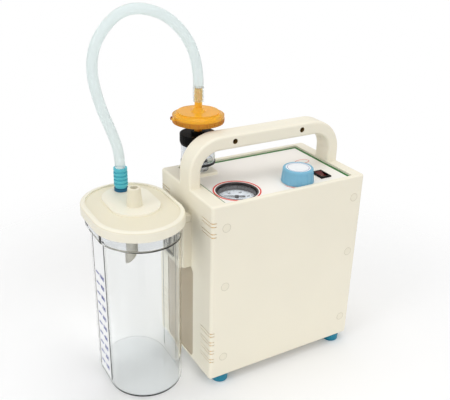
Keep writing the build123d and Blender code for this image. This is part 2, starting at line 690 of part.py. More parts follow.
with BuildPart() as lid_gasket:
    with BuildSketch(Plane.XY.offset(jar_rim_z)):
        with Locations((lid_x, jar_y)):
            oval(lid_w - 2 * lid_wall - 0.4, lid_l - 2 * lid_wall - 0.4)
            oval(lid_w - 2 * lid_wall - 6.4, lid_l - 2 * lid_wall - 6.4, mode=Mode.SUBTRACT)
    extrude(amount=gasket_t)
save(lid_gasket.part, "lid_gasket")

# Overflow float under the suction port
cage_z1 = jar_rim_z + gasket_t
cage_r = 12.0
cage_h = 46.0
with BuildPart() as float_cage:
    with Locations((elbow_x, elbow_y, cage_z1 - cage_h)):
        Cylinder(cage_r, cage_h, align=(Align.CENTER, Align.CENTER, Align.MIN))
        Cylinder(cage_r - 1.6, cage_h - 6.0, align=(Align.CENTER, Align.CENTER, Align.MIN),
                 mode=Mode.SUBTRACT)
        Cylinder(9.0 + slip, cage_h + 1.0, align=(Align.CENTER, Align.CENTER, Align.MIN),
                 mode=Mode.SUBTRACT)
    for turn in (0, 60, 120):
        with Locations(Location((elbow_x, elbow_y, cage_z1 - cage_h + 6.0), (0, 0, turn))):
            Box(40.0, 5.0, 26.0, align=(Align.CENTER, Align.CENTER, Align.MIN), mode=Mode.SUBTRACT)
    with BuildSketch(Plane.XY.offset(cage_z1 - cage_h)):
        with Locations((elbow_x, elbow_y)):
            Circle(cage_r)
            Circle(4.0, mode=Mode.SUBTRACT)
    extrude(amount=1.6)
save(float_cage.part, "float_cage")

float_travel = 12.0
float_z0 = cage_z1 - cage_h + 1.6
with BuildPart() as float_valve:
    with Locations((elbow_x, elbow_y, float_z0)):
        Cylinder(8.4, 22.0, align=(Align.CENTER, Align.CENTER, Align.MIN))
    fillet(edges(), 2.0)
    with Locations((elbow_x, elbow_y, float_z0 + 22.0)):
        Cylinder(3.6, 3.6, align=(Align.CENTER, Align.CENTER, Align.MIN))
save(float_valve.part, "float_valve")

# Ribbed hose connector standing on the suction spigot
with BuildPart() as hose_connector:
    with Locations((elbow_x, elbow_y, lid_top_z + 0.6)):
        Cylinder(8.2, 3.4, align=(Align.CENTER, Align.CENTER, Align.MIN))
    with Locations((elbow_x, elbow_y, lid_top_z + 4.0)):
        Cylinder(6.8, elbow_z1 - lid_top_z - 4.0, align=(Align.CENTER, Align.CENTER, Align.MIN))
    for i in range(4):
        with Locations((elbow_x, elbow_y, lid_top_z + 7.4 + 4.6 * i)):
            Cylinder(8.2, 2.5, align=(Align.CENTER, Align.CENTER, Align.MIN))
    with Locations((elbow_x, elbow_y, elbow_z1 - 3.0)):
        Cylinder(8.0, 3.0, align=(Align.CENTER, Align.CENTER, Align.MIN))
    with Locations((elbow_x, elbow_y, lid_top_z)):
        Cylinder(5.0 + slip, 14.2, align=(Align.CENTER, Align.CENTER, Align.MIN), mode=Mode.SUBTRACT)
    with Locations((elbow_x, elbow_y, lid_top_z)):
        Cylinder(3.4, 40.0, align=(Align.CENTER, Align.CENTER, Align.MIN), mode=Mode.SUBTRACT)
save(hose_connector.part, "hose_connector")

# Hose: straight runs joined by tangent arcs in the upright plane through both ends
span = hypot(stack_x - elbow_x, stack_y - elbow_y)
hose_run = [(1.0, 0.0), (1.0, 21.0), (0.885, 56.0), (0.575, 86.0), (0.125, 93.0), (-0.195, 63.0),
            (-0.287, 29.0), (-0.205, -12.0), (-0.062, -48.5), (0.0, -72.0), (0.0, -88.0)]
hose_points = [(elbow_x + (stack_x - elbow_x) * s, elbow_y + (stack_y - elbow_y) * s, barb_z1 + h)
               for s, h in hose_run]


def bend_radii(points):
    radii = []
    for a, b, c in zip(points, points[1:], points[2:]):
        u = Vector(*a) - Vector(*b)
        v = Vector(*c) - Vector(*b)
        half_turn = radians(180.0 - u.get_angle(v)) / 2
        radii.append(0.45 * min(u.length, v.length) / tan(half_turn))
    return radii


hose_radii = bend_radii(hose_points)
print("hose radii", [round(r, 1) for r in hose_radii])
with BuildPart() as hose:
    with BuildLine() as hose_path:
        FilletPolyline(*hose_points, radius=hose_radii)
    with BuildSketch(Plane(hose_points[0], z_dir=(0, 0, 1))):
        Circle(hose_r)
    sweep()
hose_length = sum(e.length for e in hose_path.edges())
print("hose length", round(hose_length, 1),
      "volume ratio", round(hose.part.volume / (hose_length * 3.14159265 * hose_r ** 2), 4))
save(hose.part, "hose")

with BuildPart() as hose_sleeve:
    with Locations((stack_x, stack_y, barb_z0)):
        Cylinder(hose_r + 0.4, barb_z1 - barb_z0, align=(Align.CENTER, Align.CENTER, Align.MIN))
        Cylinder(barb_r + 0.4 + slip, barb_z1 - barb_z0, align=(Align.CENTER, Align.CENTER,
                 Align.MIN), mode=Mode.SUBTRACT)
save(hose_sleeve.part, "hose_sleeve")

# Bottle stack on the panel
with BuildPart() as panel_boss:
    with Locations((stack_x, stack_y - boss_shift, panel_z)):
        Box(boss_w, boss_d, boss_h, align=(Align.CENTER, Align.CENTER, Align.MIN))
    fillet(edges().filter_by(Axis.Z), 2.5)
    fillet(faces().sort_by(Axis.Z)[-1].edges(), 1.0)
    with Locations((stack_x, stack_y, plate_z - 6.0)):
        Cylinder(7.0, panel_z - plate_z + 6.0, align=(Align.CENTER, Align.CENTER, Align.MIN))
    with Locations((stack_x, stack_y, plate_z - 10.0)):
        Cylinder(3.0, 40.0, align=(Align.CENTER, Align.CENTER, Align.MIN), mode=Mode.SUBTRACT)
save(panel_boss.part, "panel_boss")

neck_z0 = panel_z + boss_h
with BuildPart() as bottle_neck:
    with Locations((stack_x, stack_y, neck_z0)):
        Cone(neck_r, neck_r - 1.5, bottle_z0 - neck_z0, align=(Align.CENTER, Align.CENTER, Align.MIN))
    with Locations((stack_x, stack_y, neck_z0)):
        Cylinder(3.0, 20.0, align=(Align.CENTER, Align.CENTER, Align.MIN), mode=Mode.SUBTRACT)
save(bottle_neck.part, "bottle_neck")

with BuildPart() as safety_bottle:
    with Locations((stack_x, stack_y, bottle_z0)):
        Cylinder(bottle_r - 0.8, 3.0, align=(Align.CENTER, Align.CENTER, Align.MIN))
    with Locations((stack_x, stack_y, bottle_z0 + 3.0)):
        Cylinder(bottle_r, cap_z1 - 3.0 - bottle_z0 - 3.0, align=(Align.CENTER, Align.CENTER,
                 Align.MIN))
    with Locations((stack_x, stack_y, bottle_z0 + 3.0)):
        Cylinder(bottle_r - 2.0, 60.0, align=(Align.CENTER, Align.CENTER, Align.MIN),
                 mode=Mode.SUBTRACT)
    with Locations((stack_x, stack_y, bottle_z0)):
        Cylinder(3.0, 20.0, align=(Align.CENTER, Align.CENTER, Align.CENTER), mode=Mode.SUBTRACT)
save(safety_bottle.part, "safety_bottle")

with BuildPart() as bottle_ring:
    with BuildSketch(Plane.XY.offset(bottle_z0)):
        with Locations((stack_x, stack_y)):
            Circle(bottle_r + 0.4)
            Circle(bottle_r - 0.8 + slip, mode=Mode.SUBTRACT)
    extrude(amount=3.0 - slip)
save(bottle_ring.part, "bottle_ring")

with BuildPart() as bottle_cap:
    with Locations((stack_x, stack_y, cap_z0)):
        Cylinder(bottle_cap_r, cap_z1 - cap_z0, align=(Align.CENTER, Align.CENTER, Align.MIN))
    chamfer([e for e in edges() if e.center().Z < cap_z0 + 0.1], 3.0, 1.1)
    fillet([e for e in edges() if e.center().Z > cap_z1 - 0.1], 0.8)
    for turn in range(0, 360, 12):
        with Locations(Location((stack_x, stack_y, cap_z0 + 3.4), (0, 0, turn))):
            with Locations((bottle_cap_r + 0.55, 0, 0)):
                Cylinder(0.9, 8.0, align=(Align.CENTER, Align.CENTER, Align.MIN), mode=Mode.SUBTRACT)
    with Locations((stack_x, stack_y, cap_z0)):
        Cylinder(bottle_r + slip, cap_z1 - 3.0 - cap_z0, align=(Align.CENTER, Align.CENTER,
                 Align.MIN), mode=Mode.SUBTRACT)
    with Locations((stack_x, stack_y, cap_z1 - 3.0)):
        Cylinder(8.5, 6.0, align=(Align.CENTER, Align.CENTER, Align.MIN))
        Cylinder(5.0 + slip, 12.0, align=(Align.CENTER, Align.CENTER, Align.MIN), mode=Mode.SUBTRACT)
save(bottle_cap.part, "bottle_cap")

with BuildPart() as filter_lower:
    with Locations((stack_x, stack_y, filter_z0)):
        Cylinder(filter_r, filter_mid - filter_z0, align=(Align.CENTER, Align.CENTER, Align.MIN))
    with Locations((stack_x, stack_y, filter_z0 - 4.0)):
        Cone(9.0, 20.0, 4.0, align=(Align.CENTER, Align.CENTER, Align.MIN))
    with Locations((stack_x, stack_y, cap_z1 - 3.0)):
        Cylinder(5.0, filter_z0 - cap_z1 + 3.0, align=(Align.CENTER, Align.CENTER, Align.MIN))
    for turn in range(0, 360, 9):
        with Locations(Location((stack_x, stack_y, filter_z0 + 1.0), (0, 0, turn))):
            with Locations((filter_r + 0.35, 0, 0)):
                Box(1.5, 1.6, 3.4, align=(Align.CENTER, Align.CENTER, Align.MIN), mode=Mode.SUBTRACT)
    with Locations((stack_x, stack_y, filter_mid - 1.6)):
        Cylinder(filter_r - 3.0, 1.6, align=(Align.CENTER, Align.CENTER, Align.MIN),
                 mode=Mode.SUBTRACT)
    with Locations((stack_x, stack_y, cap_z1 - 5.0)):
        Cylinder(2.6, 40.0, align=(Align.CENTER, Align.CENTER, Align.MIN), mode=Mode.SUBTRACT)
save(filter_lower.part, "filter_lower")

with BuildPart() as filter_membrane:
    with Locations((stack_x, stack_y, filter_mid - 1.6)):
        Cylinder(filter_r - 3.0 - slip, 1.2, align=(Align.CENTER, Align.CENTER, Align.MIN))
save(filter_membrane.part, "filter_membrane")

with BuildPart() as filter_upper:
    with Locations((stack_x, stack_y, filter_mid)):
        Cylinder(filter_r, 3.2, align=(Align.CENTER, Align.CENTER, Align.MIN))
    with Locations((stack_x, stack_y, filter_mid + 3.2)):
        Cone(filter_r - 1.8, filter_r - 4.4, 2.2, align=(Align.CENTER, Align.CENTER, Align.MIN))
    with Locations((stack_x, stack_y, filter_mid + 5.4)):
        Cylinder(filter_r - 6.0, 1.6, align=(Align.CENTER, Align.CENTER, Align.MIN))
    with Locations((stack_x, stack_y, filter_mid + 7.0)):
        Cone(9.0, barb_r, 4.5, align=(Align.CENTER, Align.CENTER, Align.MIN))
    with Locations((stack_x, stack_y, filter_mid + 7.0)):
        Cylinder(barb_r, barb_z1 - filter_mid - 7.0, align=(Align.CENTER, Align.CENTER, Align.MIN))
    for i in range(3):
        with Locations((stack_x, stack_y, barb_z0 + 1.5 + 4.6 * i)):
            Cone(barb_r + 0.4, barb_r, 4.0, align=(Align.CENTER, Align.CENTER, Align.MIN))
    with Locations((stack_x - filter_r - 1.2, stack_y - 1.0, filter_mid + 0.2)):
        Box(5.0, 5.0, 2.0, align=(Align.CENTER, Align.CENTER, Align.MIN))
    with Locations((stack_x, stack_y, filter_mid)):
        Cylinder(filter_r - 4.0, 2.4, align=(Align.CENTER, Align.CENTER, Align.MIN),
                 mode=Mode.SUBTRACT)
        Cylinder(2.6, 60.0, align=(Align.CENTER, Align.CENTER, Align.MIN), mode=Mode.SUBTRACT)
save(filter_upper.part, "filter_upper")

# Mains inlet with fuse drawer, low in the rear wall
inlet_x = case_x1 - 50.0
inlet_z = case_z0 + 52.0
with BuildPart() as power_inlet:
    with Locations((inlet_x, case_y1, inlet_z)):
        Box(52.0, 3.0, 32.0, align=(Align.CENTER, Align.MIN, Align.CENTER))
    fillet(edges().filter_by(Axis.Y), 2.0)
    with Locations((inlet_x, case_y1, inlet_z)):
        Box(46.0, 20.0, 26.0, align=(Align.CENTER, Align.MAX, Align.CENTER))
    with Locations((inlet_x + 7.0, case_y1 + 3.0, inlet_z)):
        Box(26.0, 17.0, 18.0, align=(Align.CENTER, Align.MAX, Align.CENTER), mode=Mode.SUBTRACT)
    with Locations((inlet_x - 15.0, case_y1 + 3.0, inlet_z)):
        Box(10.0, 18.0, 22.0, align=(Align.CENTER, Align.MAX, Align.CENTER), mode=Mode.SUBTRACT)
save(power_inlet.part, "power_inlet")

with BuildPart() as inlet_pins:
    for dx, dz in ((-7.0, -1.5), (0.0, 2.5), (7.0, -1.5)):
        with Locations((inlet_x + 7.0 + dx, case_y1 - 14.0, inlet_z + dz)):
            Box(2.0, 10.0, 4.0, align=(Align.CENTER, Align.MIN, Align.CENTER))
save(inlet_pins.part, "inlet_pins")

with BuildPart() as fuse_drawer:
    with Locations((inlet_x - 15.0, case_y1 + 3.4, inlet_z)):
        Box(9.9, 17.8, 21.9, align=(Align.CENTER, Align.MAX, Align.CENTER))
    with Locations((inlet_x - 15.0, case_y1 + 3.4, inlet_z)):
        Box(10.5, 1.6, 5.0, align=(Align.CENTER, Align.MAX, Align.CENTER), mode=Mode.SUBTRACT)
    with Locations((inlet_x - 15.0, case_y1 - 6.0, inlet_z)):
        Box(11.0, 7.0, 14.0, mode=Mode.SUBTRACT)
save(fuse_drawer.part, "fuse_drawer")

# Pump set on a plate with four rubber mounts
plate_spots = [(motor_x0 + 25.0 + dx, motor_y + dy) for dx in (-50.0, 75.0) for dy in (-34.0, 34.0)]
with BuildPart() as pump_plate:
    with BuildSketch(Plane.XY.offset(base_z)):
        with Locations((motor_x0 + 35.0, motor_y)):
            RectangleRounded(150.0, 90.0, 5.0)
    extrude(amount=base_t)
    with Locations(*[(x, y, base_z) for x, y in plate_spots]):
        Cylinder(2.2, 10.0, mode=Mode.SUBTRACT)
    # two cradles that carry the motor
    for cx in (motor_x0 + 10.0, motor_x0 + 40.0):
        with Locations((cx, motor_y, base_z + base_t)):
            Box(10.0, 60.0, motor_z - stator_half - base_z - base_t, align=(Align.CENTER,
                Align.CENTER, Align.MIN))
save(pump_plate.part, "pump_plate")

with BuildPart() as pump_mounts:
    for x, y in plate_spots:
        with Locations((x, y, case_z0 + wall)):
            Cylinder(7.0, base_z - case_z0 - wall, align=(Align.CENTER, Align.CENTER, Align.MIN))
save(pump_mounts.part, "pump_mounts")

with BuildPart() as motor_stator:
    with BuildSketch(Plane.YZ.offset(motor_x0)):
        with Locations((motor_y, motor_z)):
            RectangleRounded(2 * stator_half, 2 * stator_half, 10.0)
            Circle(20.0, mode=Mode.SUBTRACT)
    extrude(amount=motor_len)
save(motor_stator.part, "motor_stator")

with BuildPart() as motor_windings:
    for x_a, x_b in ((motor_x0 - 9.0, motor_x0), (motor_x0 + motor_len, motor_x0 + motor_len + 9.0)):
        with BuildSketch(Plane.YZ.offset(x_a)):
            with Locations((motor_y, motor_z)):
                Circle(31.0)
                Circle(22.0, mode=Mode.SUBTRACT)
        extrude(amount=x_b - x_a)
    fillet([e for e in edges() if abs(e.center().X - motor_x0 - motor_len / 2) > 33.0], 3.0)
save(motor_windings.part, "motor_windings")

bell_out = 13.0
with BuildPart() as motor_bell:
    with BuildSketch(Plane.YZ.offset(motor_x0)):
        with Locations((motor_y, motor_z)):
            Circle(36.0)
    extrude(amount=-bell_out)
    with BuildSketch(Plane.YZ.offset(motor_x0)):
        with Locations((motor_y, motor_z)):
            Circle(33.0)
    extrude(amount=-(bell_out - 3.0), mode=Mode.SUBTRACT)
    with BuildSketch(Plane.YZ.offset(motor_x0 - bell_out + 4.0)):
        with Locations((motor_y, motor_z)):
            Circle(9.0)
    extrude(amount=-8.0)
    with BuildSketch(Plane.YZ.offset(motor_x0)):
        with Locations((motor_y, motor_z)):
            Circle(4.0 + slip)
            with PolarLocations(26.0, 8):
                Circle(3.5)
    extrude(amount=-30.0, mode=Mode.SUBTRACT)
save(motor_bell.part, "motor_bell")

# crankcase: a cup over the windings and a chamber for the crank, open at the top
chamber_x0 = motor_x0 + motor_len + 16.0
chamber_x1 = chamber_x0 + 30.0
case_top_z = motor_z + 46.0
with BuildPart() as crankcase:
    with BuildSketch(Plane.YZ.offset(motor_x0 + motor_len)):
        with Locations((motor_y, motor_z)):
            Circle(36.0)
    extrude(amount=16.0)
    with BuildSketch(Plane.YZ.offset(motor_x0 + motor_len)):
        with Locations((motor_y, motor_z)):
            Circle(33.0)
    extrude(amount=11.0, mode=Mode.SUBTRACT)
    with Locations((chamber_x0 - 1.0, motor_y, base_z + base_t)):
        Box(chamber_x1 - chamber_x0 + 4.0, 52.0, case_top_z - base_z - base_t, align=(Align.MIN,
            Align.CENTER, Align.MIN))
    with Locations((chamber_x0 + 2.0, motor_y, motor_z - 24.0)):
        Box(chamber_x1 - chamber_x0 - 2.0, 46.0, 100.0, align=(Align.MIN, Align.CENTER, Align.MIN),
            mode=Mode.SUBTRACT)
    with BuildSketch(Plane.YZ.offset(motor_x0 + motor_len)):
        with Locations((motor_y, motor_z)):
            Circle(4.0 + slip)
    extrude(amount=19.0, mode=Mode.SUBTRACT)
save(crankcase.part, "crankcase")

with BuildPart() as motor_shaft:
    with BuildSketch(Plane.YZ.offset(motor_x0 - 40.0)):
        with Locations((motor_y, motor_z)):
            Circle(4.0)
    extrude(amount=chamber_x0 + 13.0 - motor_x0 + 40.0)
save(motor_shaft.part, "motor_shaft")

with BuildPart() as motor_rotor:
    with BuildSketch(Plane.YZ.offset(motor_x0 + 1.0)):
        with Locations((motor_y, motor_z)):
            Circle(19.4)
            Circle(4.0, mode=Mode.SUBTRACT)
    extrude(amount=motor_len - 2.0)
save(motor_rotor.part, "motor_rotor")

with BuildPart() as cooling_fan:
    fan_x = motor_x0 - 36.0
    with BuildSketch(Plane.YZ.offset(fan_x)):
        with Locations((motor_y, motor_z)):
            Circle(10.0)
            Circle(4.0, mode=Mode.SUBTRACT)
    extrude(amount=12.0)
    with BuildSketch(Plane.YZ.offset(fan_x + 9.0)):
        with Locations((motor_y, motor_z)):
            Circle(25.0)
            Circle(4.0, mode=Mode.SUBTRACT)
    extrude(amount=1.6)
    for turn in range(0, 360, 40):
        with Locations(Location((fan_x, motor_y, motor_z), (turn, 0, 0))):
            with Locations((0.5, 0, 17.0)):
                Box(9.0, 1.5, 15.0, align=(Align.MIN, Align.CENTER, Align.CENTER))
save(cooling_fan.part, "cooling_fan")

crank_x0 = chamber_x0 + 4.0
pin_z = motor_z - crank_throw
with BuildPart() as eccentric:
    with BuildSketch(Plane.YZ.offset(crank_x0)):
        with Locations((motor_y, motor_z)):
            Circle(11.0)
            Circle(4.0, mode=Mode.SUBTRACT)
    extrude(amount=9.0)
    with BuildSketch(Plane.YZ.offset(crank_x0 + 9.0)):
        with Locations((motor_y, pin_z)):
            Circle(pin_r)
    extrude(amount=12.0)
save(eccentric.part, "eccentric")

rod_x = crank_x0 + 9.5
with BuildPart() as pump_rod:
    with BuildSketch(Plane.YZ.offset(rod_x)):
        with Locations((motor_y, pin_z)):
            Circle(10.0)
        with Locations((motor_y, pin_z + 17.0)):
            Rectangle(9.0, 34.0)
        with Locations((motor_y, pin_z)):
            Circle(pin_r + slip, mode=Mode.SUBTRACT)
    extrude(amount=9.0)
    with Locations((rod_x + 4.5, motor_y, pin_z + 33.0)):
        Cylinder(8.5, 3.0, align=(Align.CENTER, Align.CENTER, Align.MIN))
save(pump_rod.part, "pump_rod")

with BuildPart() as diaphragm:
    with BuildSketch(Plane.XY.offset(case_top_z)):
        with Locations((rod_x + 4.5, motor_y)):
            Rectangle(36.0, 52.0)
    extrude(amount=2.0)
save(diaphragm.part, "diaphragm")

head_z0 = case_top_z + 2.0
with BuildPart() as pump_head:
    with Locations((rod_x + 4.5, motor_y, head_z0)):
        Box(36.0, 52.0, 18.0, align=(Align.CENTER, Align.CENTER, Align.MIN))
    fillet(edges().filter_by(Axis.Z), 3.0)
    for dx in (-12.0, -6.0, 0.0, 6.0, 12.0):
        with Locations((rod_x + 4.5 + dx, motor_y + 12.0, head_z0 + 12.0)):
            Box(2.4, 40.0, 10.0, align=(Align.CENTER, Align.CENTER, Align.MIN), mode=Mode.SUBTRACT)
    with Locations((rod_x + 4.5, motor_y - 18.0, head_z0 + 10.0)):
        Cylinder(3.0, 20.0, align=(Align.CENTER, Align.CENTER, Align.MIN), mode=Mode.SUBTRACT)
save(pump_head.part, "pump_head")

with BuildPart() as head_screws:
    for dx in (-14.0, 14.0):
        for dy in (-22.0, 22.0):
            with Locations((rod_x + 4.5 + dx, motor_y + dy, head_z0 + 18.0)):
                Cylinder(3.0, 3.0, align=(Align.CENTER, Align.CENTER, Align.MIN))
                Cylinder(1.4, 2.0, align=(Align.CENTER, Align.CENTER, Align.CENTER), mode=Mode.SUBTRACT)
save(head_screws.part, "head_screws")

# Rigid vacuum line from the pump head to the boss, gauge and regulator
line_z = panel_z - 38.0
pump_out = (rod_x + 4.5, motor_y - 18.0)


def pipe(a, b, radius):
    d = Vector(*b) - Vector(*a)
    with Locations(Plane(a, z_dir=d.normalized())):
        Cylinder(radius, d.length, align=(Align.CENTER, Align.CENTER, Align.MIN))


with BuildPart() as vacuum_line:
    pipe((pump_out[0], pump_out[1], head_z0 + 18.0), (pump_out[0], pump_out[1], line_z), 3.5)
    pipe((pump_out[0], pump_out[1], line_z), (stack_x, pump_out[1], line_z), 3.5)
    pipe((stack_x, pump_out[1], line_z), (stack_x, stack_y, line_z), 3.5)
    pipe((stack_x, stack_y, line_z), (stack_x, stack_y, plate_z - 6.0), 3.5)
    for x, y, top in ((gauge_x, gauge_y, gauge_bottom - 5.0), (knob_x, knob_y, body_z1 - 30.0)):
        pipe((x, pump_out[1], line_z), (x, y, line_z), 3.5)
        pipe((x, y, line_z), (x, y, top), 3.5)
    corners = [(pump_out[0], pump_out[1]), (stack_x, pump_out[1]), (stack_x, stack_y),
               (gauge_x, gauge_y), (knob_x, knob_y)]
    for x, y in corners:
        with Locations((x, y, line_z)):
            Sphere(4.6)
save(vacuum_line.part, "vacuum_line")
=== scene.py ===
import json
import math

import bmesh
import bpy
from mathutils import Matrix, Vector


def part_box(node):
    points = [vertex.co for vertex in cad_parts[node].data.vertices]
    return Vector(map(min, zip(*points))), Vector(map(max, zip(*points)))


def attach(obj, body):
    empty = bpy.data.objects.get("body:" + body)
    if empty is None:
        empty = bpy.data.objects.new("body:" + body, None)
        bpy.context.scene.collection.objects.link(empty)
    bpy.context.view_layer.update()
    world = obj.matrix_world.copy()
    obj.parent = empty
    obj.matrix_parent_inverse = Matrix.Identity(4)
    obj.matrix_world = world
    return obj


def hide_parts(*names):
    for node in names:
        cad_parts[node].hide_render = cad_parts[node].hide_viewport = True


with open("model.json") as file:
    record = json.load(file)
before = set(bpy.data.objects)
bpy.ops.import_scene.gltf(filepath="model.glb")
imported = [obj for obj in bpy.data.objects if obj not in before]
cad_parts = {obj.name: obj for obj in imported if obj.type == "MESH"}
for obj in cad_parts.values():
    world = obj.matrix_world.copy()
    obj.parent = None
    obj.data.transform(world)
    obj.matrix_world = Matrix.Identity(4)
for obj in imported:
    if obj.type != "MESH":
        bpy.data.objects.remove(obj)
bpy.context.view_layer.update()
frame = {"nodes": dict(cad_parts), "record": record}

MM = 0.001
casing_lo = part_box("front_shell")[0]
casing_x0, casing_y0 = casing_lo.x, casing_lo.y
casing_depth = 0.130
print_lift = 0.00005
panel_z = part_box("panel_film")[1].z
lid_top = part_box("lid_gasket")[0].z + 0.006


def middle(node):
    lo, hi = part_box(node)
    return (lo + hi) / 2


gauge = middle("gauge_ring")
knob = middle("knob_cap")
switch = middle("switch_housing")
stack = middle("bottle_ring")
elbow = middle("hose_connector")
jar_x = elbow.x - 0.002
jar_y = elbow.y - 0.044
barb_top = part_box("hose_sleeve")[1].z


def srgb(r, g, b):
    out = []
    for c in (r, g, b):
        c = c / 255.0
        out.append(c / 12.92 if c <= 0.04045 else ((c + 0.055) / 1.055) ** 2.4)
    return (out[0], out[1], out[2], 1.0)


def plastic(name, colour, rough=0.45, grain=900.0, bump=0.06, vary=0.08, spec=0.4, metal=0.0,
            tint=0.03, sub=0.0, coat=0.0):
    # moulded or machined surface: fine grain in the bump, slow drift in colour and roughness
    m = bpy.data.materials.new(name)
    m.use_nodes = True
    nt = m.node_tree
    bsdf = nt.nodes["Principled BSDF"]
    coord = nt.nodes.new("ShaderNodeTexCoord")
    fine = nt.nodes.new("ShaderNodeTexNoise")
    fine.inputs["Scale"].default_value = grain
    fine.inputs["Detail"].default_value = 3.0
    slow = nt.nodes.new("ShaderNodeTexNoise")
    slow.inputs["Scale"].default_value = 14.0
    slow.inputs["Detail"].default_value = 2.0
    for tex in (fine, slow):
        nt.links.new(coord.outputs["Object"], tex.inputs["Vector"])
    bumper = nt.nodes.new("ShaderNodeBump")
    bumper.inputs["Strength"].default_value = bump
    bumper.inputs["Distance"].default_value = 0.0004
    nt.links.new(fine.outputs["Fac"], bumper.inputs["Height"])
    nt.links.new(bumper.outputs["Normal"], bsdf.inputs["Normal"])
    spread = nt.nodes.new("ShaderNodeMapRange")
    spread.inputs["From Min"].default_value = 0.3
    spread.inputs["From Max"].default_value = 0.7
    spread.inputs["To Min"].default_value = max(0.02, rough - vary)
    spread.inputs["To Max"].default_value = min(1.0, rough + vary)
    nt.links.new(slow.outputs["Fac"], spread.inputs["Value"])
    nt.links.new(spread.outputs["Result"], bsdf.inputs["Roughness"])
    shade = nt.nodes.new("ShaderNodeMix")
    shade.data_type = "RGBA"
    shade.inputs["A"].default_value = tuple(c * (1.0 - tint) for c in colour[:3]) + (1.0,)
    shade.inputs["B"].default_value = tuple(min(1.0, c * (1.0 + tint)) for c in colour[:3]) + (1.0,)
    nt.links.new(slow.outputs["Fac"], shade.inputs["Factor"])
    nt.links.new(shade.outputs["Result"], bsdf.inputs["Base Color"])
    bsdf.inputs["Metallic"].default_value = metal
    bsdf.inputs["Specular IOR Level"].default_value = spec
    if sub:
        bsdf.inputs["Subsurface Weight"].default_value = sub
        bsdf.inputs["Subsurface Radius"].default_value = (0.004, 0.003, 0.002)
    if coat:
        bsdf.inputs["Coat Weight"].default_value = coat
        bsdf.inputs["Coat Roughness"].default_value = 0.1
    return m


def clear(name, colour, rough=0.02, ior=1.45, see=0.85, body=0.0, grain=60.0, bump=0.02):
    # see-through moulding: refracting shell that lets light past in its shadow
    m = bpy.data.materials.new(name)
    m.use_nodes = True
    nt = m.node_tree
    bsdf = nt.nodes["Principled BSDF"]
    bsdf.inputs["Base Color"].default_value = colour
    bsdf.inputs["Transmission Weight"].default_value = 1.0 - body
    bsdf.inputs["IOR"].default_value = ior
    coord = nt.nodes.new("ShaderNodeTexCoord")
    waves = nt.nodes.new("ShaderNodeTexNoise")
    waves.inputs["Scale"].default_value = grain
    nt.links.new(coord.outputs["Object"], waves.inputs["Vector"])
    bumper = nt.nodes.new("ShaderNodeBump")
    bumper.inputs["Strength"].default_value = bump
    bumper.inputs["Distance"].default_value = 0.002
    nt.links.new(waves.outputs["Fac"], bumper.inputs["Height"])
    nt.links.new(bumper.outputs["Normal"], bsdf.inputs["Normal"])
    spread = nt.nodes.new("ShaderNodeMapRange")
    spread.inputs["To Min"].default_value = max(0.0, rough - 0.015)
    spread.inputs["To Max"].default_value = rough + 0.02
    nt.links.new(waves.outputs["Fac"], spread.inputs["Value"])
    nt.links.new(spread.outputs["Result"], bsdf.inputs["Roughness"])
    passing = nt.nodes.new("ShaderNodeBsdfTransparent")
    passing.inputs["Color"].default_value = tuple(c * see for c in colour[:3]) + (1.0,)
    mix = nt.nodes.new("ShaderNodeMixShader")
    path = nt.nodes.new("ShaderNodeLightPath")
    nt.links.new(path.outputs["Is Shadow Ray"], mix.inputs["Fac"])
    nt.links.new(bsdf.outputs["BSDF"], mix.inputs[1])
    nt.links.new(passing.outputs["BSDF"], mix.inputs[2])
    nt.links.new(mix.outputs["Shader"], nt.nodes["Material Output"].inputs["Surface"])
    return m


def paint(m, colour, lo, hi):
    # another colour inside a box of the row frame (None leaves that side open)
    nt = m.node_tree
    socket = nt.nodes["Principled BSDF"].inputs["Base Color"]
    mix = nt.nodes.new("ShaderNodeMix")
    mix.data_type = "RGBA"
    if socket.links:
        nt.links.new(socket.links[0].from_socket, mix.inputs["A"])
    else:
        mix.inputs["A"].default_value = tuple(socket.default_value)
    mix.inputs["B"].default_value = colour
    coord = nt.nodes.new("ShaderNodeTexCoord")
    axes = nt.nodes.new("ShaderNodeSeparateXYZ")
    nt.links.new(coord.outputs["Object"], axes.inputs["Vector"])
    mask = None
    for axis in range(3):
        for edge, side in ((lo[axis], "GREATER_THAN"), (hi[axis], "LESS_THAN")):
            if edge is None:
                continue
            test = nt.nodes.new("ShaderNodeMath")
            test.operation = side
            nt.links.new(axes.outputs[axis], test.inputs[0])
            test.inputs[1].default_value = edge
            if mask:
                both = nt.nodes.new("ShaderNodeMath")
                both.operation = "MULTIPLY"
                nt.links.new(mask, both.inputs[0])
                nt.links.new(test.outputs["Value"], both.inputs[1])
                mask = both.outputs["Value"]
            else:
                mask = test.outputs["Value"]
    nt.links.new(mask, mix.inputs["Factor"])
    nt.links.new(mix.outputs["Result"], socket)
    return m


